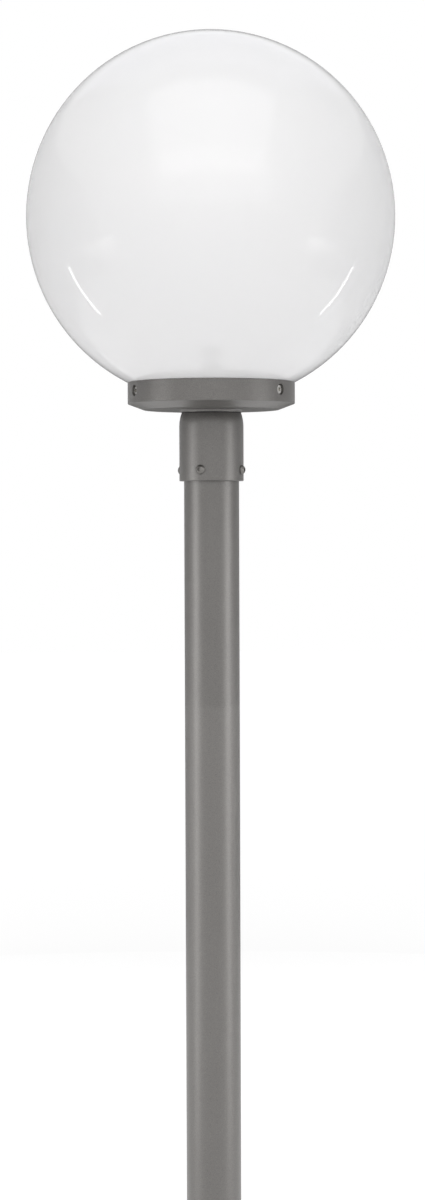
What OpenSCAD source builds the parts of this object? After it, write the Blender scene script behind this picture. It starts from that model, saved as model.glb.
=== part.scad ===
// Globe street lamp: an opal globe in a cast gallery, on a sleeve clamped to a round flanged pole.
// Millimetres, +Z up, the front towards -Y. The origin is on the ground, at the pole's axis.

/* [Pole] */
// Outer diameter of the pole tube
pole_d = 60; // [57:0.5:66]
// Wall of the pole tube
pole_wall = 3; // [2.5:0.25:3.5]
// Length of the pole tube
pole_len = 1000; // [900:50:4000]

/* [Base plate] */
// Side of the square base plate
plate_w = 200; // [190:5:260]
// Thickness of the base plate
plate_t = 10; // [8:1:20]
// Radius on the base plate's corners
plate_round = 15; // [5:1:20]
// Spacing of the anchor holes, the same both ways
anchor_spacing = 150; // [140:5:155]
// Diameter of an anchor hole
anchor_hole_d = 14; // [12:1:18]
// Diameter of the cable hole in the base plate
cable_hole_d = 50; // [30:1:50]
// Leg of the weld round the foot of the pole
weld_leg = 5; // [4:0.5:8]

/* [Sleeve] */
// Length of the sleeve
sleeve_len = 73.5; // [60:0.5:120]
// Wall of the sleeve beside the pole
sleeve_wall = 4.7; // [4:0.1:6]
// Thickness of the sleeve's floor, on which the pole's end stops
sleeve_floor_t = 8; // [7:0.5:12]
// Height over which the shoulder draws in
shoulder_h = 14; // [8:1:20]
// How far the shoulder draws in at the top
shoulder_in = 2.4; // [1:0.1:3]
// Radius on the sleeve's edges
sleeve_edge = 0.8; // [0.4:0.1:1.5]
// Height of the sleeve screws above the sleeve's lower end
sleeve_screw_z = 12; // [8:0.5:20]
// Angle of the first sleeve screw from the front, seen from above
sleeve_screw_angle = -20.3; // [-45:0.1:45]
// Diameter of a sleeve screw
sleeve_screw_d = 6; // [5:1:6]
// Diameter of a sleeve screw's head
sleeve_head_d = 10.5; // [9.5:0.1:12]
// Height of a sleeve screw's head
sleeve_head_h = 3.3; // [3:0.1:4]
// Thickness of the seal between the sleeve and the gallery
seal_t = 1; // [0.8:0.1:2]

/* [Gallery] */
// Outer diameter of the gallery
gallery_d = 182; // [180:0.5:186]
// Height of the gallery's outer wall
gallery_h = 23.9; // [22.5:0.1:24]
// Wall of the gallery
gallery_wall = 4.5; // [4:0.1:5]
// Radius on the rim's outer edge
rim_round = 1.2; // [1:0.1:2.5]
// Radius on the wall's lower edge
skirt_round = 1.2; // [0.5:0.1:2]
// Diameter of the flat underside
flat_d = 148; // [120:1:152]
// Fall of the underside from the wall to the flat
slope_h = 6.4; // [3:0.1:7]
// Thickness of the gallery's floor
floor_t = 5.9; // [4:0.1:6.5]
// Rise of the gasket's ledge above the floor
ledge_h = 4; // [3.5:0.1:4.5]
// Diameter of the step inside the gasket's ledge
ledge_d = 140; // [136:1:142]
// Length of the neck under the flat
neck_drop = 3; // [3:0.1:8]
// Hollow radius between the flat underside and the neck
neck_fillet = 2.5; // [1.5:0.5:2.5]
// Diameter of the boss behind each globe screw
screw_boss_d = 18; // [16:0.5:20]

/* [Globe] */
// Outer diameter of the globe
globe_d = 400; // [380:5:450]
// Wall of the globe
globe_wall = 3; // [2:0.25:4]
// Outer diameter of the globe's neck
globe_neck_d = 150; // [147:0.5:151]
// Straight part of the globe's neck
globe_neck_len = 9.6; // [9.4:0.1:10.4]
// How far the lip stands out from the neck
lip_out = 4; // [3:0.25:4.25]
// Thickness of the lip
lip_t = 3.2; // [2.5:0.1:3.4]
// Thickness of the gasket under the globe
gasket_t = 3; // [2:0.1:3.2]

/* [Globe screws] */
// Angle of the first globe screw from the front, seen from above
globe_screw_angle = 54.6; // [0:0.1:120]
// Diameter of a globe screw
globe_screw_d = 6; // [5:0.5:6]
// Length of a globe screw under its head
globe_screw_len = 10; // [9.5:0.1:11]
// Diameter of a globe screw's head
globe_head_d = 10; // [8.5:0.1:10.5]
// Height of a globe screw's head
globe_head_h = 4; // [3:0.1:4.5]

/* [Fixing screws] */
// Diameter of the screws that hold the gallery to the sleeve
fixing_d = 5; // [4:0.5:5]
// Length of a fixing screw under its head
fixing_len = 16; // [14:1:17]
// Outer diameter of a fixing washer
washer_d = 10; // [9:0.5:10]
// Thickness of a fixing washer
washer_t = 1; // [0.8:0.1:1.6]

/* [Cable gland] */
// Thread diameter of the cable gland
gland_d = 20; // [16:1:20]
// Cable opening of the gland
gland_bore = 11; // [8:0.5:12]
// Width across the flats of the gland's hexagons
gland_flats = 24; // [22:1:24]

/* [Lampholder] */
// Height of the bracket's top above the gallery's floor
bracket_h = 70; // [55:1:95]
// Width of the bracket across the lamp, between its legs
bracket_span = 70; // [64:1:72]
// Width of the bracket's steel strip
strip_w = 25; // [20:1:26]
// Thickness of the bracket's steel strip
strip_t = 2; // [1.5:0.25:3]
// Distance between the two feet's screws
foot_spacing = 96; // [92:1:98]
// Outer diameter of the porcelain body
holder_d = 46; // [44:1:50]
// Depth of the porcelain's socket
socket_depth = 28; // [27.5:0.1:30]
// Distance between the screws that hold the porcelain to the bracket
holder_spacing = 24; // [22:0.5:25]

/* [Lamp] */
// Diameter of the bulb
lamp_d = 75; // [60:1:90]
// Length of the lamp with its cap
lamp_len = 173; // [150:1:190]
// Outer diameter of the lamp's screw cap
cap_d = 26.2; // [26:0.1:26.6]

/* [Terminal block] */
// Distance from one pole to the next
pole_pitch = 10; // [9:0.5:11]
// Width of the block, from wire entry to wire entry
block_w = 18; // [16:0.5:20]
// Height of the block
block_h = 15; // [14:0.5:18]
// Diameter of a lead over its insulation
lead_d = 2.6; // [2:0.1:3]

/* [Hidden] */
$fn = 96;

// Clearances
pole_gap = 0.3;
thread_gap = 0.05;
bolt_gap = 0.25;
seat_gap = 0.25;
tip_gap = 0.1;
bore_gap = 0.2;
lip_gap = 0.3;
boss_gap = 0.8;
head_gap = 1;
key_gap = 1.6;
shell_gap = 0.35;

// Paint and metal colours
satin_grey = [0.47, 0.47, 0.46];
opal = [0.94, 0.95, 0.95];
stainless = [0.72, 0.72, 0.72];
zinc_steel = [0.66, 0.68, 0.70];
brass = [0.80, 0.65, 0.35];
black_rubber = [0.10, 0.10, 0.10];
black_nylon = [0.16, 0.16, 0.17];
porcelain = [0.93, 0.92, 0.88];
cream_nylon = [0.90, 0.88, 0.80];

// Pole and sleeve
pole_r = pole_d / 2;
pole_top = plate_t + pole_len;
sleeve_bore_r = pole_r + pole_gap;
sleeve_r = sleeve_bore_r + sleeve_wall;
sleeve_top_r = sleeve_r - shoulder_in;
sleeve_top = pole_top + sleeve_floor_t;
sleeve_bottom = sleeve_top - sleeve_len;
sleeve_screws_z = sleeve_bottom + sleeve_screw_z;
sleeve_screw_count = 4;
seal_in = 0.3;

// Width across the flats of the key that turns every socket screw
hex_key = 4;

// Gallery, from its lower end up
gallery_z = sleeve_top + seal_t;
neck_step = 0.4;
neck_r = sleeve_top_r + neck_step;
flat_z = gallery_z + neck_drop;
floor_z = flat_z + floor_t;
ledge_z = floor_z + ledge_h;
skirt_z = flat_z + slope_h;
rim_z = skirt_z + gallery_h;
gallery_r = gallery_d / 2;
gallery_inner_r = gallery_r - gallery_wall;
flat_r = flat_d / 2;
ledge_r = ledge_d / 2;

// Globe
globe_r = globe_d / 2;
globe_neck_r = globe_neck_d / 2;
lip_r = globe_neck_r + lip_out;
globe_end_z = ledge_z + gasket_t;
globe_rise = globe_neck_len + sqrt(globe_r ^ 2 - globe_neck_r ^ 2);
globe_z = globe_end_z + globe_rise;
neck_blend = 1;

// Globe screws
globe_screw_count = 3;
globe_screw_z = globe_end_z + lip_t + lip_gap + globe_screw_d / 2;
globe_screw_tip_r = globe_neck_r + tip_gap;
globe_head_r = globe_screw_tip_r + globe_screw_len;
boss_face_r = lip_r + boss_gap;

// Cable gland
gland_r = gland_d / 2;
gland_corner_r = gland_flats / 2 / cos(30);
recess_r = gland_corner_r + key_gap;
pad_h = 2;
pad_r = recess_r + 2;
pad_z = floor_z + pad_h;
web_t = 5;
recess_z = pad_z - web_t;
locknut_t = 5;
gland_flange_t = 6;
gland_thread_h = 5;
gland_cap_h = 15;

// Fixing screws
fixing_in = 9;
fixing_r = neck_r - fixing_in;
fixing_turns = [30, 150, 270];
fixing_head_d = 8.5;
fixing_head_h = 5;

// Lampholder and its bracket
small_d = 4;
small_head_d = 7;
small_head_h = 2.6;
foot_boss_h = 4;
foot_boss_r = 6;
foot_z = floor_z + foot_boss_h;
foot_len = 22;
bracket_top = floor_z + bracket_h;
lead_slot_w = 7;
lead_slot_y = 8.5;
holder_z = bracket_top;
holder_r = holder_d / 2;
holder_step = 3;
holder_foot_r = holder_r - holder_step;
holder_foot_h = 20;
socket_floor = 17;
holder_h = socket_floor + socket_depth;
shell_t = 0.5;
shell_inner_r = cap_d / 2 + shell_gap;
shell_outer_r = shell_inner_r + shell_t;
shell_len = socket_depth - 4;
socket_r = shell_outer_r + bore_gap;
contact_r = 4.5;
clamp_w = 8;
clamp_d = 6;
clamp_h = 9;
clamp_x = 6.5;
clamp_y = holder_foot_r - 7;
clamp_hole_y = clamp_y + 3;
clamp_pocket_h = clamp_h + 2;

// Lamp
lamp_r = lamp_d / 2;
cap_len = 26;
cap_above_holder = 0.5;
lamp_z = holder_z + holder_h + cap_above_holder - cap_len;
contact_h = socket_depth + cap_above_holder - cap_len - tip_gap;
cap_tip_r = 4.8;
cap_tip_h = 3;
cap_skirt_r = 15.5;
lamp_taper = 40;
lamp_top_z = lamp_z + lamp_len - lamp_r;
lamp_neck_r = lamp_r * cos(lamp_taper);
lamp_neck_z = lamp_z + cap_len + (lamp_neck_r - cap_skirt_r) / tan(lamp_taper);
lamp_waist_z = lamp_neck_z + lamp_r * sin(lamp_taper);

// Terminal block
block_y = 46;
block_boss_h = 3;
block_boss_r = 4;
block_z = floor_z + block_boss_h;
block_len = 3 * pole_pitch + 2;
barrel_d = 6;
barrel_z = block_z + 6;
block_screw_d = 3;
block_head_depth = 4;
terminal_screw_d = 3;

// Earth
earth_pos = [-30, -38];
earth_d = 5;
earth_boss_r = 5.5;
earth_boss_h = 4;
earth_z = floor_z + earth_boss_h;
tag_t = 0.8;
tag_turn = 150;
tag_tail = 8.5;
tag_barrel = 6;

// The corner between the edges from p towards a and b, outside a circle of radius r that touches both.
// It reaches a little past both edges, so that it cuts or joins cleanly.
module corner(p, a, b, r, lap = 0.1) {
  u = (a - p) / norm(a - p);
  v = (b - p) / norm(b - p);
  half = acos(u * v) / 2;
  middle = p + (u + v) / norm(u + v) * r / sin(half);
  start = p + u * r / tan(half);
  finish = p + v * r / tan(half);
  difference() {
    polygon([p - lap * (u + v), start - lap * v, start, middle, finish, finish - lap * u]);
    translate(middle) circle(r);
  }
}

// Places its children at radius r and height z, pointing outwards; a turn of 0 faces the front
module radial(turn, r, z) {
  rotate([0, 0, turn - 90]) translate([r, 0, z]) rotate([0, 90, 0]) children();
}

// A ring or tube standing on z = 0
module ring(outer_r, inner_r, h) {
  difference() {
    cylinder(r = outer_r, h = h);
    translate([0, 0, -1]) cylinder(r = inner_r, h = h + 2);
  }
}

module hexagon(flats, h) {
  cylinder(d = flats / cos(30), h = h, $fn = 6);
}

// A screw's plain shank with a chamfered tip, hanging from z = 0
module shank(d, len, tip = 0.6) {
  r = d / 2;
  rotate_extrude() polygon([[0, 0], [r, 0], [r, tip - len], [r - tip, -len], [0, -len]]);
}

// Socket head screw, its head standing on z = 0
module socket_screw(d, len, head_d, head_h, socket, socket_h) {
  edge = 0.4;
  r = head_d / 2;
  difference() {
    union() {
      rotate_extrude() polygon([[0, 0], [r, 0], [r, head_h - edge], [r - edge, head_h], [0, head_h]]);
      shank(d, len);
    }
    translate([0, 0, head_h - socket_h]) hexagon(socket, socket_h + 1);
  }
}

// Button head screw with a domed head, its underside on z = 0
module button_screw(d, len, head_d, head_h, socket, socket_h) {
  edge = 0.6;
  flat_top_r = 2.6;
  r = head_d / 2;
  dome_z = (flat_top_r ^ 2 + head_h ^ 2 - r ^ 2 - edge ^ 2) / (2 * (head_h - edge));
  dome_r = norm([flat_top_r, head_h - dome_z]);
  difference() {
    union() {
      intersection() {
        cylinder(r = r, h = head_h);
        translate([0, 0, dome_z]) sphere(r = dome_r);
      }
      shank(d, len);
    }
    translate([0, 0, head_h - socket_h]) hexagon(socket, socket_h + 1);
  }
}

// Pan head screw with a cross slot made of two cuts, its head standing on z = 0
module pan_screw(d, len, head_d, head_h) {
  edge = 0.5;
  slot_w = head_d / 7;
  slot_len = head_d * 0.6;
  r = head_d / 2;
  difference() {
    union() {
      rotate_extrude() polygon([[0, 0], [r, 0], [r, head_h - edge], [r - edge, head_h], [0, head_h]]);
      shank(d, len, 0.4);
    }
    for (turn = [0, 90])
      rotate([0, 0, turn]) translate([-slot_len / 2, -slot_w / 2, head_h / 2])
        cube([slot_len, slot_w, head_h]);
  }
}

module base_plate() {
  half = plate_w / 2;
  color(satin_grey) linear_extrude(plate_t) difference() {
    square(plate_w, center = true);
    for (sx = [-1, 1], sy = [-1, 1]) {
      corner([sx * half, sy * half], [0, sy * half], [sx * half, 0], plate_round);
      translate([sx, sy] * anchor_spacing / 2) circle(d = anchor_hole_d);
    }
    circle(d = cable_hole_d);
  }
}

// A hollow-faced fillet weld in the corner between the plate and the tube
module base_weld() {
  color(satin_grey) translate([0, 0, plate_t]) rotate_extrude()
    corner([pole_r, 0], [pole_r + 10, 0], [pole_r, 10], weld_leg, lap = 0);
}

module pole_tube() {
  color(satin_grey) translate([0, 0, plate_t]) ring(pole_r, pole_r - pole_wall, pole_len);
}

// Half section of the sleeve, with its shoulder as one long arc
module sleeve_section() {
  shoulder_z = sleeve_top - shoulder_h;
  shoulder_r = (shoulder_in ^ 2 + shoulder_h ^ 2) / (2 * shoulder_in);
  difference() {
    translate([recess_r, sleeve_bottom]) square([sleeve_r - recess_r, sleeve_len]);
    translate([0, sleeve_bottom - 1]) square([sleeve_bore_r, sleeve_len - sleeve_floor_t + 1]);
    difference() {
      translate([sleeve_top_r - 4, shoulder_z]) square([shoulder_in + 5, shoulder_h + 1]);
      translate([sleeve_r - shoulder_r, shoulder_z]) circle(shoulder_r, $fn = 720);
    }
    corner([sleeve_r, sleeve_bottom], [sleeve_r, sleeve_top], [0, sleeve_bottom], sleeve_edge);
    corner(
      [sleeve_bore_r, sleeve_bottom], [sleeve_bore_r, sleeve_top], [sleeve_r, sleeve_bottom], sleeve_edge
    );
  }
}

module sleeve() {
  color(satin_grey) difference() {
    rotate_extrude() sleeve_section();
    for (i = [0 : sleeve_screw_count - 1])
      radial(sleeve_screw_angle + i * 360 / sleeve_screw_count, sleeve_bore_r - 2, sleeve_screws_z)
        cylinder(d = sleeve_screw_d + 2 * thread_gap, h = sleeve_wall + 4);
    for (turn = fixing_turns)
      rotate([0, 0, turn]) translate([fixing_r, 0, pole_top - 1])
        cylinder(d = fixing_d + 2 * thread_gap, h = sleeve_floor_t + 2);
  }
}

module sleeve_screws() {
  color(stainless) for (i = [0 : sleeve_screw_count - 1])
    radial(sleeve_screw_angle + i * 360 / sleeve_screw_count, sleeve_r, sleeve_screws_z)
      button_screw(sleeve_screw_d, sleeve_r - pole_r - tip_gap, sleeve_head_d, sleeve_head_h, hex_key, 2);
}

module sleeve_seal() {
  color(black_rubber) difference() {
    translate([0, 0, sleeve_top]) ring(sleeve_top_r - seal_in, recess_r, seal_t);
    for (turn = fixing_turns)
      rotate([0, 0, turn]) translate([fixing_r, 0, sleeve_top - 1])
        cylinder(d = fixing_d + 2 * bolt_gap, h = seal_t + 2);
  }
}

// Half section of the gallery: neck, flat and sloping underside, wall, ledge, floor and gland pad
module gallery_section() {
  skirt = [gallery_r, skirt_z];
  rim = [gallery_r, rim_z];
  flat_edge = [flat_r, flat_z];
  neck_top = [neck_r, flat_z];
  step = [gallery_inner_r, ledge_z];
  union() {
    difference() {
      polygon([
        [gland_r + bore_gap, recess_z], [recess_r, recess_z], [recess_r, gallery_z], [neck_r, gallery_z],
        neck_top, flat_edge, skirt, rim, [gallery_inner_r, rim_z], step,
        [ledge_r, ledge_z], [ledge_r, floor_z], [pad_r, floor_z], [pad_r, pad_z], [gland_r + bore_gap, pad_z]
      ]);
      corner(skirt, rim, flat_edge, skirt_round);
      corner(rim, skirt, [0, rim_z], rim_round);
      corner([ledge_r, ledge_z], [ledge_r, floor_z], step, 1);
    }
    corner(neck_top, [neck_r, gallery_z], flat_edge, neck_fillet);
    corner([ledge_r, floor_z], [ledge_r, ledge_z], [0, floor_z], 1.5);
  }
}

// Bosses on the gallery's floor, each with its blind hole
module floor_bosses() {
  for (side = [-1, 1]) {
    translate([side * foot_spacing / 2, 0, floor_z - 1]) cylinder(r = foot_boss_r, h = foot_boss_h + 1);
    translate([0, block_y + side * pole_pitch / 2, floor_z - 1])
      cylinder(r = block_boss_r, h = block_boss_h + 1);
  }
  translate([earth_pos.x, earth_pos.y, floor_z - 1]) cylinder(r = earth_boss_r, h = earth_boss_h + 1);
}

module floor_holes() {
  hole_z = flat_z + 1.5;
  for (side = [-1, 1]) {
    translate([side * foot_spacing / 2, 0, hole_z]) cylinder(d = small_d + 2 * thread_gap, h = 20);
    translate([0, block_y + side * pole_pitch / 2, hole_z])
      cylinder(d = block_screw_d + 2 * thread_gap, h = 20);
  }
  translate([earth_pos.x, earth_pos.y, hole_z]) cylinder(d = earth_d + 2 * thread_gap, h = 20);
  for (turn = fixing_turns)
    rotate([0, 0, turn]) translate([fixing_r, 0, gallery_z - 1])
      cylinder(d = fixing_d + 2 * bolt_gap, h = floor_z - gallery_z + 2);
}

module gallery() {
  color(satin_grey) difference() {
    union() {
      rotate_extrude() gallery_section();
      for (i = [0 : globe_screw_count - 1])
        intersection() {
          radial(globe_screw_angle + i * 360 / globe_screw_count, boss_face_r, globe_screw_z)
            cylinder(d = screw_boss_d, h = gallery_inner_r - boss_face_r + 2);
          translate([0, 0, ledge_z - 0.5]) cylinder(r = gallery_r - 1, h = gallery_h);
        }
      floor_bosses();
    }
    translate([0, 0, globe_z]) sphere(r = globe_r + seat_gap, $fn = 360);
    for (i = [0 : globe_screw_count - 1]) {
      radial(globe_screw_angle + i * 360 / globe_screw_count, boss_face_r - 5, globe_screw_z)
        cylinder(d = globe_screw_d + 2 * thread_gap, h = 20);
      radial(globe_screw_angle + i * 360 / globe_screw_count, globe_head_r, globe_screw_z)
        cylinder(d = globe_head_d + 2 * head_gap, h = 20);
    }
    floor_holes();
  }
}

module fixing_screws() {
  color(stainless) for (turn = fixing_turns)
    rotate([0, 0, turn]) translate([fixing_r, 0, floor_z + washer_t])
      socket_screw(fixing_d, fixing_len, fixing_head_d, fixing_head_h, hex_key, fixing_head_h / 2);
}

module fixing_washers() {
  color(stainless) for (turn = fixing_turns)
    rotate([0, 0, turn]) translate([fixing_r, 0, floor_z])
      ring(washer_d / 2, fixing_d / 2 + bolt_gap, washer_t);
}

module globe_gasket() {
  color(black_rubber) translate([0, 0, ledge_z])
    ring(lip_r + 0.6, globe_neck_r - globe_wall - 0.6, gasket_t);
}

// Half section of the globe above the neck's lower end: ball, blended neck and lip
module globe_section() {
  bore_r = globe_neck_r - globe_wall;
  centre = [0, globe_rise];
  blend_r = globe_neck_r + neck_blend;
  blend = [blend_r, globe_rise - sqrt((globe_r + neck_blend) ^ 2 - blend_r ^ 2)];
  touch = centre + (blend - centre) * globe_r / (globe_r + neck_blend);
  bend = [globe_neck_r, globe_neck_len];
  lip_edge = 0.8;
  difference() {
    union() {
      translate(centre) circle(globe_r, $fn = 720);
      translate([bore_r, 0]) square([globe_wall, globe_neck_len + 1]);
      translate([bore_r, 0]) square([lip_r - bore_r, lip_t]);
      difference() {
        polygon([bend - [1, 0], [bend.x - 1, blend.y], [globe_neck_r, blend.y], blend, touch, bend]);
        translate(blend) circle(neck_blend);
      }
    }
    translate(centre) circle(globe_r - globe_wall, $fn = 720);
    translate([-2 * globe_r, -globe_r]) square([2 * globe_r, 4 * globe_r]);
    translate([-1, -globe_r]) square([bore_r + 1, globe_r + globe_neck_len + 10]);
    corner([lip_r, 0], [lip_r, lip_t], [0, 0], lip_edge);
    corner([lip_r, lip_t], [lip_r, 0], [0, lip_t], lip_edge);
  }
}

module globe() {
  color(opal) translate([0, 0, globe_end_z]) rotate_extrude($fn = 180) globe_section();
}

module globe_screws() {
  color(stainless) for (i = [0 : globe_screw_count - 1])
    radial(globe_screw_angle + i * 360 / globe_screw_count, globe_head_r, globe_screw_z)
      socket_screw(globe_screw_d, globe_screw_len, globe_head_d, globe_head_h, hex_key, 2.4);
}

// Hexagonal flange on the gland pad, thread down through the web, and a threaded collar above
module gland_body() {
  color(black_nylon) difference() {
    union() {
      translate([0, 0, pad_z]) hexagon(gland_flats, gland_flange_t);
      translate([0, 0, recess_z - locknut_t]) cylinder(r = gland_r, h = web_t + locknut_t + 1);
      translate([0, 0, pad_z + gland_flange_t - 1]) cylinder(r = gland_r - 1, h = gland_thread_h + 1);
    }
    translate([0, 0, recess_z - locknut_t - 1]) cylinder(d = gland_bore, h = 60);
  }
}

module gland_locknut() {
  color(black_nylon) translate([0, 0, recess_z - locknut_t]) difference() {
    hexagon(gland_flats, locknut_t);
    translate([0, 0, -1]) cylinder(r = gland_r + thread_gap, h = locknut_t + 2);
  }
}

// Rubber sleeve on the collar's end, which the cap squeezes on the cable
module gland_insert() {
  color(black_rubber) translate([0, 0, pad_z + gland_flange_t + gland_thread_h])
    ring(gland_r - 1.6, gland_bore / 2, 6);
}

module gland_cap() {
  bottom = pad_z + gland_flange_t + 0.5;
  inner_h = gland_thread_h + 6;
  crown_h = 4;
  color(black_nylon) difference() {
    union() {
      translate([0, 0, bottom]) hexagon(gland_flats, gland_cap_h - crown_h);
      translate([0, 0, bottom + gland_cap_h - crown_h])
        cylinder(r1 = gland_flats / 2 - 0.2, r2 = gland_bore / 2 + 2.5, h = crown_h);
    }
    translate([0, 0, bottom - 1]) cylinder(r = gland_r - 1 + thread_gap, h = inner_h + 1);
    translate([0, 0, bottom]) cylinder(d = gland_bore, h = gland_cap_h + 1);
  }
}

// Side outline of the bent strip: two feet, two legs and a flat top
module bracket_outline() {
  leg = bracket_span / 2;
  foot = leg + foot_len;
  top = bracket_top;
  bend = 3;
  inner_bend = bend - strip_t;
  under = top - strip_t;
  difference() {
    union() {
      translate([-leg - bend, foot_z]) square([2 * (leg + bend), bend]);
      translate([-leg - strip_t, foot_z]) square([bracket_span + 2 * strip_t, top - foot_z]);
      translate([-foot, foot_z]) square([2 * foot, strip_t]);
    }
    for (side = [-1, 1])
      translate([side * (leg + bend), foot_z + bend]) circle(inner_bend);
    difference() {
      translate([-leg, foot_z - 1]) square([bracket_span, under - foot_z + 1]);
      for (side = [-1, 1])
        corner([side * leg, under], [side * leg, foot_z], [0, under], inner_bend);
    }
    for (side = [-1, 1]) {
      corner([side * (leg + strip_t), top], [side * (leg + strip_t), foot_z], [0, top], bend);
      corner([side * leg, foot_z], [side * leg, top], [side * foot, foot_z], bend);
    }
  }
}

module lampholder_bracket() {
  color(zinc_steel) difference() {
    translate([0, strip_w / 2, 0]) rotate([90, 0, 0]) linear_extrude(strip_w) bracket_outline();
    for (side = [-1, 1]) {
      translate([side * foot_spacing / 2, 0, foot_z - 1])
        cylinder(d = small_d + 2 * bolt_gap, h = strip_t + 2);
      translate([side * holder_spacing / 2, 0, bracket_top - strip_t - 1])
        cylinder(d = small_d + 2 * bolt_gap, h = strip_t + 2);
    }
  }
}

module bracket_screws() {
  color(zinc_steel) for (side = [-1, 1])
    translate([side * foot_spacing / 2, 0, foot_z + strip_t])
      pan_screw(small_d, strip_t + 5, small_head_d, small_head_h);
}

// Half section of the porcelain: a narrower foot, a skirt with rounded edges and the socket
module porcelain_section() {
  difference() {
    union() {
      square([holder_foot_r, holder_h - 1]);
      translate([0, holder_foot_h]) square([holder_r, holder_h - holder_foot_h]);
    }
    translate([0, socket_floor]) square([socket_r, holder_h]);
    corner([holder_r, holder_h], [holder_r, 0], [0, holder_h], 2);
    corner([holder_r, holder_foot_h], [holder_r, holder_h], [0, holder_foot_h], 2);
    corner([socket_r, holder_h], [socket_r, 0], [holder_r, holder_h], 1.5);
    corner([holder_foot_r, 0], [holder_foot_r, holder_h], [0, 0], 1);
  }
}

module lampholder_body() {
  color(porcelain) translate([0, 0, holder_z]) difference() {
    rotate_extrude() porcelain_section();
    for (side = [-1, 1]) {
      translate([side * holder_spacing / 2, 0, -1]) cylinder(d = small_d + 2 * thread_gap, h = 10);
      translate([side * clamp_x - clamp_w / 2 - bore_gap, clamp_y - bore_gap, -1])
        cube([clamp_w + 2 * bore_gap, 20, clamp_pocket_h + 1]);
    }
  }
}

// Screw shell with a turned-in bottom edge
module lampholder_shell() {
  color(brass) translate([0, 0, holder_z + socket_floor + 1]) difference() {
    cylinder(r = shell_outer_r, h = shell_len);
    translate([0, 0, shell_t]) cylinder(r = shell_inner_r, h = shell_len);
    translate([0, 0, -1]) cylinder(r = shell_inner_r - 3, h = 3);
  }
}

// Sprung contact: a round foot on the socket's floor and a raised centre
module lampholder_contact() {
  color(brass) translate([0, 0, holder_z + socket_floor]) union() {
    cylinder(r = contact_r + 3, h = 0.8);
    cylinder(r1 = contact_r, r2 = contact_r - 1, h = contact_h);
  }
}

module lampholder_clamps() {
  color(brass) for (side = [-1, 1])
    translate([side * clamp_x, clamp_y, holder_z + 1.5]) difference() {
      translate([-clamp_w / 2, 0, 0]) cube([clamp_w, clamp_d, clamp_h]);
      translate([0, clamp_hole_y - clamp_y, -1]) cylinder(d = lead_d + 2 * bore_gap, h = clamp_h - 2);
      translate([0, 2, clamp_h - 3.5]) rotate([-90, 0, 0])
        cylinder(d = terminal_screw_d + 2 * thread_gap, h = clamp_d);
    }
}

module lampholder_clamp_screws() {
  color(brass) for (side = [-1, 1])
    translate([side * clamp_x, clamp_y + clamp_d, holder_z + 1.5 + clamp_h - 3.5])
      rotate([-90, 0, 0]) pan_screw(terminal_screw_d, 3.8, 5, 1.6);
}

module lampholder_screws() {
  color(zinc_steel) for (side = [-1, 1])
    translate([side * holder_spacing / 2, 0, bracket_top - strip_t])
      rotate([180, 0, 0]) pan_screw(small_d, strip_t + 8, small_head_d, small_head_h);
}

// Half section of the lamp: centre contact, threaded cap, tapered neck and a long round bulb
module lamp_section() {
  cap_r = cap_d / 2;
  thread_pitch = 3.62;
  difference() {
    union() {
      translate([0, lamp_z + cap_tip_h]) square([cap_r - 1, cap_len - cap_tip_h]);
      for (i = [0 : 4])
        translate([cap_r - 1.5, lamp_z + cap_tip_h + 3 + i * thread_pitch]) circle(1.5, $fn = 24);
      polygon([
        [0, lamp_z], [cap_tip_r - 1, lamp_z], [cap_r - 3, lamp_z + cap_tip_h], [0, lamp_z + cap_tip_h]
      ]);
      polygon([
        [0, lamp_z + cap_len - 2], [cap_r, lamp_z + cap_len - 2], [cap_skirt_r, lamp_z + cap_len],
        [lamp_neck_r, lamp_neck_z], [lamp_neck_r, lamp_waist_z], [0, lamp_waist_z]
      ]);
      translate([0, lamp_waist_z]) square([lamp_r, lamp_top_z - lamp_waist_z]);
      for (z = [lamp_waist_z, lamp_top_z])
        translate([0, z]) circle(lamp_r, $fn = 240);
    }
    translate([-2 * lamp_r, lamp_z - 1]) square([2 * lamp_r, 2 * lamp_len]);
  }
}

module lamp() {
  color(opal) rotate_extrude() lamp_section();
}

module terminal_block() {
  wall_r = barrel_d / 2 + bore_gap;
  color(cream_nylon) difference() {
    translate([-block_w / 2, block_y - block_len / 2, block_z]) cube([block_w, block_len, block_h]);
    for (i = [-1 : 1]) {
      translate([-block_w, block_y + i * pole_pitch, barrel_z]) rotate([0, 90, 0])
        cylinder(r = wall_r, h = 2 * block_w);
      for (side = [-1, 1])
        translate([side * block_w / 4, block_y + i * pole_pitch, barrel_z]) cylinder(d = 4.4, h = block_h);
    }
    // Screw holes, with grooves down the block's faces between the poles
    for (side = [-1, 1]) translate([0, block_y + side * pole_pitch / 2, block_z]) {
      translate([0, 0, -1]) cylinder(d = block_screw_d + 2 * bolt_gap, h = block_h + 2);
      translate([0, 0, block_h - block_head_depth]) cylinder(d = 6.4, h = 5);
      for (face = [-1, 1])
        translate([face * block_w / 2, 0, -1]) cylinder(r = 1.5, h = block_h + 2);
    }
  }
}

module terminal_barrels() {
  barrel_len = block_w - 4;
  color(brass) for (i = [-1 : 1])
    translate([0, block_y + i * pole_pitch, barrel_z]) difference() {
      translate([-barrel_len / 2, 0, 0]) rotate([0, 90, 0]) cylinder(d = barrel_d, h = barrel_len);
      translate([-barrel_len, 0, 0]) rotate([0, 90, 0])
        cylinder(d = lead_d + 2 * bore_gap, h = 2 * barrel_len);
      for (side = [-1, 1])
        translate([side * block_w / 4, 0, 0]) cylinder(d = terminal_screw_d + 2 * thread_gap, h = barrel_d);
    }
}

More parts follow.
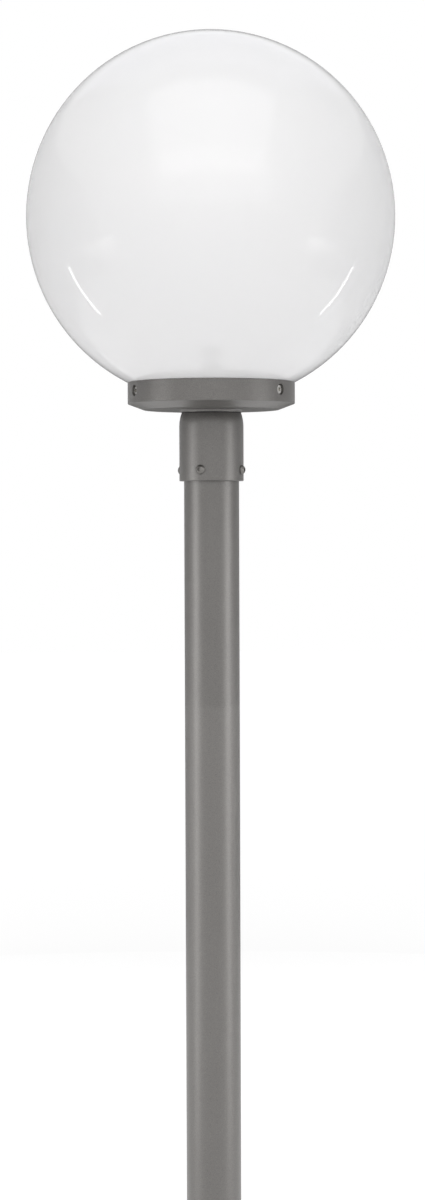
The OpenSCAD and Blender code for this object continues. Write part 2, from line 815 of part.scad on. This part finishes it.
module terminal_screws() {
  grip = lead_d / 2 + bore_gap;
  color(zinc_steel) for (i = [-1 : 1], side = [-1, 1])
    translate([side * block_w / 4, block_y + i * pole_pitch, barrel_z + grip]) difference() {
      cylinder(d = terminal_screw_d, h = 4.5);
      translate([-3, -0.3, 3.6]) cube([6, 0.6, 2]);
    }
}

module block_screws() {
  color(zinc_steel) for (side = [-1, 1])
    translate([0, block_y + side * pole_pitch / 2, block_z + block_h - block_head_depth])
      pan_screw(block_screw_d, block_h - block_head_depth + block_boss_h + 2, 5.6, 2.2);
}

module earth_screw() {
  color(brass) translate([earth_pos.x, earth_pos.y, earth_z + tag_t + washer_t])
    pan_screw(earth_d, tag_t + washer_t + 5.5, 9, 3.4);
}

module earth_washer() {
  color(stainless) translate([earth_pos.x, earth_pos.y, earth_z + tag_t])
    ring(5, earth_d / 2 + bolt_gap, washer_t);
}

// Ring tag with a flat tail and a crimped barrel that holds the lead
module earth_tag() {
  lead_r = lead_d / 2;
  color(stainless) translate([earth_pos.x, earth_pos.y, earth_z]) rotate([0, 0, tag_turn]) difference() {
    union() {
      cylinder(r = 4.8, h = tag_t);
      translate([0, -2, 0]) cube([tag_tail + 3, 4, tag_t]);
      translate([tag_tail, 0, lead_r + tag_t]) rotate([0, 90, 0])
        cylinder(r = lead_r + tag_t, h = tag_barrel);
    }
    translate([0, 0, -1]) cylinder(r = earth_d / 2 + bolt_gap, h = 5);
    translate([tag_tail - 1, 0, lead_r + tag_t]) rotate([0, 90, 0])
      cylinder(r = lead_r, h = tag_barrel + 2);
  }
}

// Routes of the leads, as round numbers from the gallery's floor up
live_route = [
  [6, 36, 9], [11, 36, 9], [17, 35, 12], [21, 33, 22], [20, 31, 38], [14, 29, 54],
  [clamp_x + 2, 22, 61], [clamp_x, clamp_hole_y + 0.5, 67], [clamp_x, clamp_hole_y, 71],
  [clamp_x, clamp_hole_y, 75]
];
neutral_route = [
  [6, 46, 9], [12, 46, 9], [18, 45, 13], [19, 41, 24], [13, 37, 40], [2, 33, 54],
  [1 - clamp_x, 23, 61], [-clamp_x, clamp_hole_y + 0.5, 67], [-clamp_x, clamp_hole_y, 71],
  [-clamp_x, clamp_hole_y, 75]
];
tag_way = [cos(tag_turn), sin(tag_turn), 0];
tag_hold = [earth_pos.x, earth_pos.y, earth_boss_h + tag_t + lead_d / 2];
earth_route = [
  tag_hold + 9 * tag_way, tag_hold + 15.5 * tag_way, [-50, -24, 8], [-55, -12, 13], [-55, 4, 15],
  [-52, 20, 14], [-43, 36, 12], [-31, 48, 10], [-20, 55, 9], [-12, 56, 9], [-6, 56, 9]
];

// A smooth curve through the middle of the route's points, with its own ends kept
function bspline(p, t) = let (
    n = len(p) - 1,
    i = min(floor(t), n - 1),
    u = t - i,
    a = p[max(i - 1, 0)], b = p[i], c = p[i + 1], d = p[min(i + 2, n)]
  ) ((2 * b) + (c - a) * u + (2 * a - 5 * b + 4 * c - d) * u ^ 2 + (3 * b - a - 3 * c + d) * u ^ 3) / 2;
function smooth(p, steps) = [for (i = [0 : steps]) bspline(p, i * (len(p) - 1) / steps)];

// A tube of 8 sides swept along the points, with its rings turned from a fixed direction
module swept(points, r, reference) {
  sides = 8;
  n = len(points);
  rings = [
    for (i = [0 : n - 1]) let (
      along = points[min(i + 1, n - 1)] - points[max(i - 1, 0)],
      t = along / norm(along),
      side = cross(t, reference),
      u = side / norm(side),
      v = cross(t, u)
    ) for (k = [0 : sides - 1]) points[i] + r * (cos(k * 360 / sides) * u + sin(k * 360 / sides) * v)
  ];
  walls = [
    for (i = [0 : n - 2], k = [0 : sides - 1]) let (a = i * sides + k, b = i * sides + (k + 1) % sides)
      for (face = [[a, b, b + sides], [a, b + sides, a + sides]]) face
  ];
  first = [for (k = [sides - 1 : -1 : 0]) k];
  last = [for (k = [0 : sides - 1]) (n - 1) * sides + k];
  polyhedron(rings, concat(walls, [first, last]));
}

module lead(route, reference, shade) {
  raised = [for (p = smooth(route, 26)) p + [0, 0, floor_z]];
  color(shade) swept(raised, lead_d / 2 - 0.1, reference);
}

module lead_live() { lead(live_route, [0.7, 0.7, 0], "sienna"); }
module lead_neutral() { lead(neutral_route, [0.7, 0.7, 0], "steelblue"); }
module lead_earth() { lead(earth_route, [0, 0, 1], "yellowgreen"); }

base_plate();
base_weld();
pole_tube();
sleeve();
sleeve_screws();
sleeve_seal();
gallery();
fixing_screws();
fixing_washers();
globe_gasket();
globe();
globe_screws();
gland_body();
gland_locknut();
gland_insert();
gland_cap();
lampholder_bracket();
bracket_screws();
lampholder_body();
lampholder_shell();
lampholder_contact();
lampholder_clamps();
lampholder_clamp_screws();
lampholder_screws();
lamp();
terminal_block();
terminal_barrels();
terminal_screws();
block_screws();
earth_screw();
earth_washer();
earth_tag();
lead_live();
lead_neutral();
lead_earth();
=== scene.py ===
import math
import bpy
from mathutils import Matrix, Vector


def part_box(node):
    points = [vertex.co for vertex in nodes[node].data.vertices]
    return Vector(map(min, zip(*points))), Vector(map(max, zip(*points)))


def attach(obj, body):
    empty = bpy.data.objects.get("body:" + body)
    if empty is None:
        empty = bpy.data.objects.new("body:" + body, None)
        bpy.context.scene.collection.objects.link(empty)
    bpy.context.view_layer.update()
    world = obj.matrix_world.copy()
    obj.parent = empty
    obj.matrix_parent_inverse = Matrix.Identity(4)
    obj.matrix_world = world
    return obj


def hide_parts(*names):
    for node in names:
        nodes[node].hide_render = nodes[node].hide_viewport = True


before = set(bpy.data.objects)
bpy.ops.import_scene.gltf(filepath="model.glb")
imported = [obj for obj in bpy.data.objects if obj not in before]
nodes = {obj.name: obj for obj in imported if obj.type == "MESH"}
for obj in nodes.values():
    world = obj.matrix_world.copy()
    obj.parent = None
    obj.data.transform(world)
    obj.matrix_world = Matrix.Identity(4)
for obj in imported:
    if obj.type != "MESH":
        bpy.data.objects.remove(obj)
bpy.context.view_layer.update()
scene = bpy.context.scene

# Camera. It stands 2.65 m in front of the pole and 0.9 m up, well under the globe, so it looks up at the
# gallery's sloping underside and down on the foot of the pole. It hangs a fifth of a degree out of level.
CAMERA_PLACE = (0.00086, -2.6454, 0.9008)
CAMERA_LENS = 72.71
CAMERA_DOWN = math.radians(1.862)
CAMERA_ROLL = 0.0035
camera = bpy.data.objects.new("camera", bpy.data.cameras.new("camera"))
scene.collection.objects.link(camera)
camera.data.lens = CAMERA_LENS
camera.location = CAMERA_PLACE
camera.rotation_euler = (math.pi / 2 - CAMERA_DOWN, CAMERA_ROLL, 0)
scene.camera = camera
scene.view_settings.view_transform = "Standard"


# Studio floor and air. The floor is a matt white board that keeps a soft shadow, and what the camera, a
# mirror or glass sees past it is plain white. The air fills the shadows with an even, neutral light.
def linear(code):
    """An sRGB hex colour as linear RGBA."""
    parts = [int(code[i:i + 2], 16) / 255 for i in (1, 3, 5)]
    return (*[c / 12.92 if c <= 0.04045 else ((c + 0.055) / 1.055) ** 2.4 for c in parts], 1)


def add(tree, kind, inputs=None, **settings):
    """Adds a node. inputs gives an input, by its name or number, a socket to link or a value to set."""
    made = tree.nodes.new(kind)
    for name, value in settings.items():
        setattr(made, name, value)
    for name, value in (inputs or {}).items():
        if isinstance(value, bpy.types.NodeSocket):
            tree.links.new(value, made.inputs[name])
        else:
            made.inputs[name].default_value = value
    return made


def new_finish(name):
    """An empty node material and its tree."""
    finish = bpy.data.materials.new(name)
    finish.use_nodes = True
    finish.node_tree.nodes.clear()
    return finish, finish.node_tree


def seen_directly(tree):
    """1 for rays from the camera, a gloss or a glass, and 0 for the light that falls on things."""
    path = add(tree, "ShaderNodeLightPath")
    either = add(tree, "ShaderNodeMath", {
        0: path.outputs["Is Camera Ray"], 1: path.outputs["Is Glossy Ray"]}, operation="MAXIMUM")
    return add(tree, "ShaderNodeMath", {0: either.outputs[0], 1: path.outputs["Is Transmission Ray"]},
               operation="MAXIMUM").outputs[0]


def mesh_object(name, points, faces, smooth=False):
    mesh = bpy.data.meshes.new(name)
    mesh.from_pydata(points, [], faces)
    mesh.update()
    if smooth:
        mesh.shade_smooth()
    made = bpy.data.objects.new(name, mesh)
    scene.collection.objects.link(made)
    return made


AIR_LOW, AIR_HIGH = 1.2, 0.1  # the light from the walls, and the weaker light from the ceiling
world = bpy.data.worlds.new("studio_air")
scene.world = world
world.use_nodes = True
tree = world.node_tree
tree.nodes.clear()
aim = add(tree, "ShaderNodeSeparateXYZ", {"Vector": add(tree, "ShaderNodeTexCoord").outputs["Generated"]})
level = add(tree, "ShaderNodeMapRange", {"Value": aim.outputs["Z"], "To Min": AIR_LOW, "To Max": AIR_HIGH})
air = add(tree, "ShaderNodeBackground", {"Color": linear("#FFFFFF"), "Strength": level.outputs["Result"]})
white = add(tree, "ShaderNodeBackground", {"Color": (1, 1, 1, 1), "Strength": 1})
mixed = add(tree, "ShaderNodeMixShader", {0: seen_directly(tree), 1: air.outputs[0], 2: white.outputs[0]})
add(tree, "ShaderNodeOutputWorld", {"Surface": mixed.outputs[0]})

FLOOR_RADIUS, FLOOR_SIDES = 14, 96
FLOOR_WHITE = 0.9  # the floor's plain white, as it is seen
FLOOR_SHADE = 0.25  # how much of the board's own light and shadow is laid over that white
floor_board, tree = new_finish("white_floor_board")
board = add(tree, "ShaderNodeBsdfDiffuse", {"Color": linear("#FAFAFA")})
shade = add(tree, "ShaderNodeBsdfDiffuse", {"Color": (*[FLOOR_SHADE] * 3, 1)})
glow = add(tree, "ShaderNodeEmission", {"Color": (1, 1, 1, 1), "Strength": FLOOR_WHITE})
seen = add(tree, "ShaderNodeAddShader", {0: shade.outputs[0], 1: glow.outputs[0]})
mixed = add(tree, "ShaderNodeMixShader", {0: seen_directly(tree), 1: board.outputs[0], 2: seen.outputs[0]})
add(tree, "ShaderNodeOutputMaterial", {"Surface": mixed.outputs[0]})
rim = [(FLOOR_RADIUS * math.cos(a), FLOOR_RADIUS * math.sin(a), 0)
       for a in [math.tau * i / FLOOR_SIDES for i in range(FLOOR_SIDES)]]
floor = mesh_object("floor", rim, [list(range(FLOOR_SIDES))])
floor.data.materials.append(floor_board)


# Studio lamps. A square softbox high in front makes the pale window in the globe, and one behind lights its
# crown. A broad wall of light and a wash on the floor fill it in. A gridded screen at each side draws a
# long soft line down the pole, and two low bare tubes draw the globe's two thin streaks.
def softbox(name, size, place, towards, watts, tint="#FFFFFF", spread=180):
    lamp = bpy.data.lights.new(name, "AREA")
    lamp.shape = "RECTANGLE"
    lamp.size, lamp.size_y = size
    lamp.energy = watts
    lamp.color = linear(tint)[:3]
    lamp.spread = math.radians(spread)
    box = bpy.data.objects.new(name, lamp)
    scene.collection.objects.link(box)
    box.location = place
    box.rotation_euler = (Vector(towards) - Vector(place)).to_track_quat("-Z", "Y").to_euler()
    box.visible_camera = False
    return box


GLOBE_CENTRE = (0, 0, 1.23)
softbox("key_softbox", (2.3, 2.3), (0, -1.22, 2.69), GLOBE_CENTRE, 13)
softbox("front_wall", (5, 2.0), (0, -3.2, 2.35), (0, 0, 1.4), 17.5)
softbox("floor_wash", (3.2, 3.2), (0, 0, 0.7), (0, 0, 0), 8.8)
softbox("top_softbox", (2.6, 1.8), (0, 1.0, 3.0), GLOBE_CENTRE, 3.2, "#EAEAFF")
for side in (-1, 1):
    softbox("side_screen", (0.4, 1.04), (side * 0.85, -0.3, 0.54), (0, 0, 0.34), 0.85, spread=70)
    softbox("floor_tube", (0.04, 0.6), (side * 1.3, 0.28, 0.5), (0, 0, 0.9), 0.5)

# Grey cards. A curved row of them stands round the back and sides of the lamp. The dark ones right behind
# are mirrored in the globe's edge as a thin grey line. The camera doesn't see them.
CARD_RADIUS = 2.4
CARD_HEIGHTS = ((0, 2.7), (60, 2.3), (98, 1.9), (108, 0.8))  # degrees from the back, metres
CARD_END, CARD_STEP, CARD_FOOT = 108, 4, 0.002
DARK_UP_TO, PALE_FROM = 0.8, 2.4  # the dark card fades upwards between these heights
SIDES_UP_TO, BACK_FROM = 0.93, 0.99  # and sideways between these shares of the radius


def card_height(turn):
    for (a, low), (b, high) in zip(CARD_HEIGHTS, CARD_HEIGHTS[1:]):
        if turn <= b:
            return low + (high - low) * (turn - a) / (b - a)


points = []
turns = range(-CARD_END, CARD_END + 1, CARD_STEP)
for turn in turns:
    a = math.radians(turn)
    for z in (CARD_FOOT, card_height(abs(turn))):
        points.append((CARD_RADIUS * math.sin(a), CARD_RADIUS * math.cos(a), z))
walls = [(2 * i, 2 * i + 1, 2 * i + 3, 2 * i + 2) for i in range(len(turns) - 1)]
cards = mesh_object("grey_cards", points, walls)
MIX_A, MIX_B, MIX_COLOUR = 6, 7, 2  # the two colours that a Mix node takes, and the one that it gives
card_grey, tree = new_finish("grey_card")
place = add(tree, "ShaderNodeSeparateXYZ", {"Vector": add(tree, "ShaderNodeTexCoord").outputs["Object"]})
rise = add(tree, "ShaderNodeMapRange", {"Value": place.outputs["Z"], "From Min": DARK_UP_TO,
                                        "From Max": PALE_FROM})
back = add(tree, "ShaderNodeMapRange", {"Value": place.outputs["Y"], "From Min": SIDES_UP_TO * CARD_RADIUS,
                                        "From Max": BACK_FROM * CARD_RADIUS})
behind = add(tree, "ShaderNodeMix", {0: rise.outputs["Result"], MIX_A: linear("#5A5A5A"),
                                     MIX_B: linear("#C0C0C0")}, data_type="RGBA")
tone = add(tree, "ShaderNodeMix", {0: back.outputs["Result"], MIX_A: linear("#E6E6E6"),
                                   MIX_B: behind.outputs[MIX_COLOUR]}, data_type="RGBA")
card = add(tree, "ShaderNodeBsdfDiffuse", {"Color": tone.outputs[MIX_COLOUR]})
add(tree, "ShaderNodeOutputMaterial", {"Surface": card.outputs[0]})
cards.data.materials.append(card_grey)
cards.visible_camera = False


# Pole and base plate. A drawn steel tube of 60 mm stands on a 10 mm plate with four anchor holes. Both are
# powder coated after welding: a satin warm grey skin with the slight ripple that molten powder leaves.
FLAKES, FLAKES_VARY = 0.12, 0.06  # share of the surface that is flake, and how much it varies
GLINT_MM = 0.6  # real flakes are 0.03 mm, so their glints are drawn coarser
SPRAY_MM = 70  # from one pass of the spray gun to the next


def powder_coat(name, ripple_mm, ripple_depth_mm):
    """Satin grey powder coat: aluminium flakes, a ripple, and the faint change of tone from spraying."""
    finish, tree = new_finish(name)
    place = add(tree, "ShaderNodeTexCoord").outputs["Object"]
    ripple = add(tree, "ShaderNodeTexNoise", {"Vector": place, "Scale": 1000 / ripple_mm, "Detail": 2.5})
    spray = add(tree, "ShaderNodeTexNoise", {"Vector": place, "Scale": 1000 / SPRAY_MM, "Detail": 3})
    tone = add(tree, "ShaderNodeMix", {0: spray.outputs["Fac"], MIX_A: linear("#464442"),
                                       MIX_B: linear("#504E4C")}, data_type="RGBA")
    relief = add(tree, "ShaderNodeBump", {
        "Height": ripple.outputs["Fac"], "Distance": ripple_depth_mm / 1000, "Strength": 1})
    resin = add(tree, "ShaderNodeBsdfPrincipled", {
        "Base Color": tone.outputs[MIX_COLOUR], "Roughness": 0.36, "IOR": 1.5,
        "Normal": relief.outputs["Normal"]})
    flakes = add(tree, "ShaderNodeBsdfPrincipled", {
        "Base Color": linear("#CBC8C4"), "Metallic": 1, "Roughness": 0.42,
        "Normal": relief.outputs["Normal"]})
    glint = add(tree, "ShaderNodeTexNoise", {"Vector": place, "Scale": 1000 / GLINT_MM, "Detail": 1})
    share = add(tree, "ShaderNodeMapRange", {
        "Value": glint.outputs["Fac"], "From Min": 0.3, "From Max": 0.7,
        "To Min": FLAKES - FLAKES_VARY, "To Max": FLAKES + FLAKES_VARY})
    skin = add(tree, "ShaderNodeMixShader", {
        0: share.outputs["Result"], 1: resin.outputs[0], 2: flakes.outputs[0]})
    add(tree, "ShaderNodeOutputMaterial", {"Surface": skin.outputs[0]})
    return finish


def paint(finish, *names):
    """Puts the finish on CAD nodes."""
    for name in names:
        for held in nodes[name].material_slots:
            held.material = finish


coated_steel = powder_coat("satin_powder_coat_on_steel", 2.2, 0.02)
paint(coated_steel, "pole_tube", "base_plate")

# Weld. One fillet run in the corner between the plate and the tube, laid by hand under gas. Its hollow face
# is a row of small overlapping crescents, softened by the coat over them.
tube_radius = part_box("pole_tube")[1].x
plate_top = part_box("base_plate")[1].z
weld_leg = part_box("base_weld")[1].x - tube_radius
WELD_BITE = 0.0003  # how far the weld reaches into the tube and the plate
CRESCENTS, CRESCENT_HEIGHT = 72, 0.0004
CRESCENT_BOW = 0.4  # how far a crescent's ends trail behind its middle, as a share of their spacing
STEPS_ROUND, STEPS_ACROSS = 576, 10
RING = STEPS_ACROSS + 2
points, faces = [], []
for i in range(STEPS_ROUND):
    turn = math.tau * i / STEPS_ROUND
    section = [(tube_radius - WELD_BITE, plate_top - WELD_BITE)]  # its root, in the corner
    for j in range(STEPS_ACROSS + 1):
        slope = math.pi * (1 + 0.5 * j / STEPS_ACROSS)  # a quarter turn, from the tube to the plate
        off_middle = 2 * j / STEPS_ACROSS - 1
        beat = (CRESCENTS * i / STEPS_ROUND + CRESCENT_BOW * off_middle ** 2) % 1
        lift = CRESCENT_HEIGHT * (1 - off_middle ** 2) * math.sqrt(1 - (2 * beat - 1) ** 2)
        reach = weld_leg + WELD_BITE - lift
        section.append((tube_radius + weld_leg + reach * math.cos(slope),
                        plate_top + weld_leg + reach * math.sin(slope)))
    points += [(out * math.cos(turn), out * math.sin(turn), height) for out, height in section]
    here, ahead = i * RING, (i + 1) % STEPS_ROUND * RING
    for j in range(RING):
        k = (j + 1) % RING
        faces.append((here + j, here + k, ahead + k, ahead + j))
bead = mesh_object("weld_bead", points, faces, smooth=True)
bead.data.materials.append(coated_steel)
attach(bead, "root")
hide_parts("base_weld")

# Sleeve and gallery. Both are aluminium castings, turned where they fit and coated in the same satin grey.
# The cast skin under the coat is a little coarser than drawn tube.
coated_casting = powder_coat("satin_powder_coat_on_cast_aluminium", 1.6, 0.035)
paint(coated_casting, "sleeve", "gallery")


# Screws, washers and earth tag. They are A2 stainless steel, cold headed or punched: a pale warm metal with
# the soft blur of tumbled parts. The sleeve's screws get a darker metal colour, which is painted shade. The
# grain is drawn at 0.5 mm, coarser than the real one.
METAL_DARKER = 0.82  # the grain's dark parts, as a share of the pale ones
METAL_GRAIN_DEPTH_MM = 0.01


def bright_metal(name, code, low, high, grain_mm):
    """A bare metal with a fine change of gloss. low and high are its roughness."""
    finish, tree = new_finish(name)
    place = add(tree, "ShaderNodeTexCoord").outputs["Object"]
    grain = add(tree, "ShaderNodeTexNoise", {"Vector": place, "Scale": 1000 / grain_mm, "Detail": 3})
    pale, dark = linear(code), [METAL_DARKER * c for c in linear(code)[:3]] + [1]
    tone = add(tree, "ShaderNodeMix", {0: grain.outputs["Fac"], MIX_A: dark, MIX_B: pale}, data_type="RGBA")
    blur = add(tree, "ShaderNodeMapRange", {"Value": grain.outputs["Fac"], "To Min": low, "To Max": high})
    relief = add(tree, "ShaderNodeBump", {
        "Height": grain.outputs["Fac"], "Distance": METAL_GRAIN_DEPTH_MM / 1000, "Strength": 1})
    skin = add(tree, "ShaderNodeBsdfPrincipled", {
        "Base Color": tone.outputs[MIX_COLOUR], "Metallic": 1, "Roughness": blur.outputs["Result"],
        "Normal": relief.outputs["Normal"]})
    add(tree, "ShaderNodeOutputMaterial", {"Surface": skin.outputs[0]})
    return finish


# painted shade: the sleeve's screws are given a darker stainless colour than the other screws
paint(bright_metal("stainless_steel_with_painted_shade", "#7C7A77", 0.34, 0.46, 0.5), "sleeve_screws")
paint(bright_metal("bright_stainless_steel", "#DAD8D4", 0.16, 0.28, 0.5), "globe_screws", "fixing_screws",
      "fixing_washers", "earth_washer", "earth_tag")


# Seals. The sleeve's seal, the gasket under the globe's neck and the gland's insert are black EPDM rubber,
# cut from sheet or moulded: a dull, slightly dusty black.
MOULDED_DARKER = 0.8  # the grain's dark parts, as a share of the pale ones


def moulded(name, code, grain_mm, low, high, depth_mm=0.02):
    """Moulded plastic, rubber or porcelain. Its fine grain is drawn coarser than the real one. low and high
    are its roughness."""
    finish, tree = new_finish(name)
    place = add(tree, "ShaderNodeTexCoord").outputs["Object"]
    grain = add(tree, "ShaderNodeTexNoise", {"Vector": place, "Scale": 1000 / grain_mm, "Detail": 2})
    pale, dark = linear(code), [MOULDED_DARKER * c for c in linear(code)[:3]] + [1]
    tone = add(tree, "ShaderNodeMix", {0: grain.outputs["Fac"], MIX_A: dark, MIX_B: pale}, data_type="RGBA")
    blur = add(tree, "ShaderNodeMapRange", {"Value": grain.outputs["Fac"], "To Min": low, "To Max": high})
    relief = add(tree, "ShaderNodeBump", {
        "Height": grain.outputs["Fac"], "Distance": depth_mm / 1000, "Strength": 1})
    skin = add(tree, "ShaderNodeBsdfPrincipled", {
        "Base Color": tone.outputs[MIX_COLOUR], "Roughness": blur.outputs["Result"], "IOR": 1.5,
        "Normal": relief.outputs["Normal"]})
    add(tree, "ShaderNodeOutputMaterial", {"Surface": skin.outputs[0]})
    return finish


paint(moulded("black_rubber", "#1C1C1C", 0.8, 0.7, 0.85),
      "sleeve_seal", "globe_gasket", "gland_insert")

# Globe. One blown ball of opal acrylic, 3 mm thick: milk white right through, with a high gloss that is a
# little wavy from blowing. Light soaks into the wall and comes out some way off, so its shades are soft.
WAVE_MM, WAVE_DEPTH_MM = 90, 0.8
CLOUD_MM = 160  # from one faint cloud in the opal to the next
SOAK_MM = 2  # how far light gets in the opal
opal, tree = new_finish("blown_opal_acrylic")
place = add(tree, "ShaderNodeTexCoord").outputs["Object"]
wave = add(tree, "ShaderNodeTexNoise", {"Vector": place, "Scale": 1000 / WAVE_MM, "Detail": 1})
relief = add(tree, "ShaderNodeBump", {
    "Height": wave.outputs["Fac"], "Distance": WAVE_DEPTH_MM / 1000, "Strength": 1})
cloud = add(tree, "ShaderNodeTexNoise", {"Vector": place, "Scale": 1000 / CLOUD_MM, "Detail": 2})
tone = add(tree, "ShaderNodeMix", {0: cloud.outputs["Fac"], MIX_A: linear("#F4F4F5"),
                                   MIX_B: linear("#F6F5F5")}, data_type="RGBA")
skin = add(tree, "ShaderNodeBsdfPrincipled", {
    "Base Color": tone.outputs[MIX_COLOUR], "Roughness": 0.06, "IOR": 1.49, "Subsurface Weight": 1,
    "Subsurface Radius": (1, 1, 1), "Subsurface Scale": SOAK_MM / 1000,
    "Normal": relief.outputs["Normal"]})
add(tree, "ShaderNodeOutputMaterial", {"Surface": skin.outputs[0]})
paint(opal, "globe")

# Cable gland. It stands in a hole in the gallery's floor and its lock nut holds it there. Body, nut and cap
# are moulded black nylon with a fine spark-eroded grain, which gives a soft sheen.
paint(moulded("black_nylon", "#242425", 0.6, 0.42, 0.55), "gland_body", "gland_locknut", "gland_cap")

# Lampholder bracket, with the screws of the bracket, lampholder and terminals. They are bent strip and cold
# headed steel, zinc plated: a cool grey, faintly clouded by the plating bath.
paint(bright_metal("zinc_plated_steel", "#B9BEC1", 0.32, 0.45, 4), "lampholder_bracket", "bracket_screws",
      "lampholder_screws", "terminal_screws", "block_screws")

# Lampholder. A pressed porcelain body, glazed white and glassy, carries a shell, a contact and clamps of
# stamped brass, a satin yellow metal. The terminal barrels and the earth screw are turned from brass too.
paint(moulded("glazed_porcelain", "#EFECE3", 3, 0.1, 0.16, 0.01), "lampholder_body")
paint(bright_metal("brass", "#CFAE62", 0.26, 0.38, 1.2), "lampholder_shell", "lampholder_contact",
      "lampholder_clamps", "lampholder_clamp_screws", "terminal_barrels", "earth_screw")

# Lamp. A blown glass bulb, frosted to a soft pearl white, is cemented into a nickelled screw cap of dull
# warm silver. The cap is the lowest part of the lamp and sits in the holder.
CAP_LENGTH = 0.026
cap_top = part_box("lamp")[0].z + CAP_LENGTH
FROST_MM = 1.5  # drawn coarser than real frosting
pearl_lamp, tree = new_finish("pearl_glass_and_nickelled_cap")
place = add(tree, "ShaderNodeTexCoord").outputs["Object"]
height = add(tree, "ShaderNodeSeparateXYZ", {"Vector": place})
on_cap = add(tree, "ShaderNodeMath", {0: height.outputs["Z"], 1: cap_top}, operation="LESS_THAN")
frost = add(tree, "ShaderNodeTexNoise", {"Vector": place, "Scale": 1000 / FROST_MM, "Detail": 2})
glass = add(tree, "ShaderNodeMix", {0: frost.outputs["Fac"], MIX_A: linear("#EFEDE6"),
                                    MIX_B: linear("#F8F7F3")}, data_type="RGBA")
tone = add(tree, "ShaderNodeMix", {0: on_cap.outputs[0], MIX_A: glass.outputs[MIX_COLOUR],
                                   MIX_B: linear("#B8B2A2")}, data_type="RGBA")
skin = add(tree, "ShaderNodeBsdfPrincipled", {
    "Base Color": tone.outputs[MIX_COLOUR], "Metallic": on_cap.outputs[0], "Roughness": 0.28})
add(tree, "ShaderNodeOutputMaterial", {"Surface": skin.outputs[0]})
paint(pearl_lamp, "lamp")

# Terminal block. A moulding of cream nylon round the three brass barrels, held down by two screws. The fine
# grain of the mould leaves it satin.
paint(moulded("cream_nylon", "#E3DDC9", 0.8, 0.4, 0.5), "terminal_block")

# Leads. Single cores in soft extruded PVC, with a waxy sheen: brown live, blue neutral, and earth in green
# with a yellow stripe along it.
paint(moulded("brown_pvc", "#5B3219", 0.8, 0.4, 0.5), "lead_live")
paint(moulded("blue_pvc", "#23529C", 0.8, 0.4, 0.5), "lead_neutral")
STRIPE_FROM = 0.25  # the stripe lies on top, where the surface faces up more than this
striped_pvc, tree = new_finish("green_and_yellow_pvc")
surface = add(tree, "ShaderNodeNewGeometry")
facing = add(tree, "ShaderNodeSeparateXYZ", {"Vector": surface.outputs["Normal"]})
on_top = add(tree, "ShaderNodeMath", {0: facing.outputs["Z"], 1: STRIPE_FROM}, operation="GREATER_THAN")
tone = add(tree, "ShaderNodeMix", {0: on_top.outputs[0], MIX_A: linear("#2F7D3A"),
                                   MIX_B: linear("#DCC42B")}, data_type="RGBA")
skin = add(tree, "ShaderNodeBsdfPrincipled", {"Base Color": tone.outputs[MIX_COLOUR], "Roughness": 0.45})
add(tree, "ShaderNodeOutputMaterial", {"Surface": skin.outputs[0]})
paint(striped_pvc, "lead_earth")
